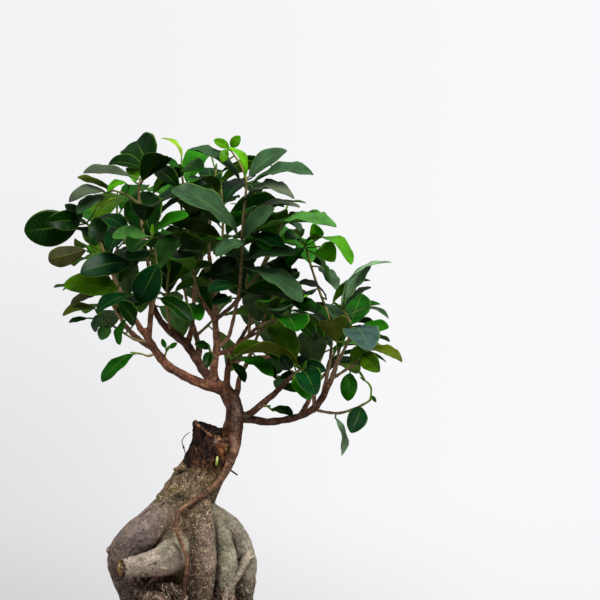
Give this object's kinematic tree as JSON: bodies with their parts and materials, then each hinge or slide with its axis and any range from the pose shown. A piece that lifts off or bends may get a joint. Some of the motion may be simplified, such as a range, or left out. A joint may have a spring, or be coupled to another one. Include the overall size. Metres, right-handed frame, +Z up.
{
  "type": "ficus bonsai in a pot",
  "caption": "Ficus bonsai: swollen rootstock with a cut stump, grafted crown of glossy leaves and an aerial root, standing in a plain ceramic pot.",
  "frame": {"origin": "middle of the pot's flat underside, on the surface it stands on", "axes": "+Z up; -Y is the front from which the picture is taken; +X runs to the right, along the pot's long side"},
  "size_m": [0.3633, 0.2967, 0.5629],
  "materials": {
    "pot": "matt unglazed stoneware, dark brown-grey",
    "soil": "damp granular potting soil, dull",
    "root_bark": "grey-beige root bark with dark flecks",
    "scion_bark": "reddish-brown young bark",
    "foliage": "glossy thick leaves, dark green above and olive below"
  },
  "bodies": {
    "root": {"pot": "pot", "soil": "soil", "rootstock": "root_bark", "scion": "scion_bark", "spray_crown": "foliage", "spray_far_left": "foliage", "spray_upper_left": "foliage", "spray_top_middle": "foliage", "spray_mid_left": "foliage", "spray_lower_far_left": "foliage", "spray_low_left": "foliage", "spray_left_drop": "foliage", "spray_bud_pair": "foliage", "spray_inner_pair": "foliage", "spray_under_middle": "foliage", "spray_right_low": "foliage", "spray_under_leaf": "foliage", "spray_inner_right": "foliage", "spray_fork_up": "foliage", "spray_upper_right": "foliage", "spray_right": "foliage", "spray_right_tip": "foliage", "spray_long_sprig": "foliage", "spray_middle_right": "foliage", "spray_middle": "foliage", "spray_left_middle": "foliage", "spray_back_left_low": "foliage", "spray_back_left": "foliage", "spray_back_left_up": "foliage", "spray_back_left_top": "foliage", "spray_top_centre": "foliage", "spray_front_middle": "foliage", "spray_inner_left": "foliage", "spray_back_left_far": "foliage", "spray_back": "foliage", "spray_back_low": "foliage", "spray_top_back": "foliage", "spray_top_back_left": "foliage", "spray_back_right_top": "foliage", "spray_top_right": "foliage", "spray_top_front_right": "foliage", "spray_back_middle": "foliage", "spray_inner_right_low": "foliage", "spray_back_right": "foliage", "spray_back_right_low": "foliage", "spray_back_low_right": "foliage", "spray_right_middle": "foliage"}
  },
  "joints": []
}
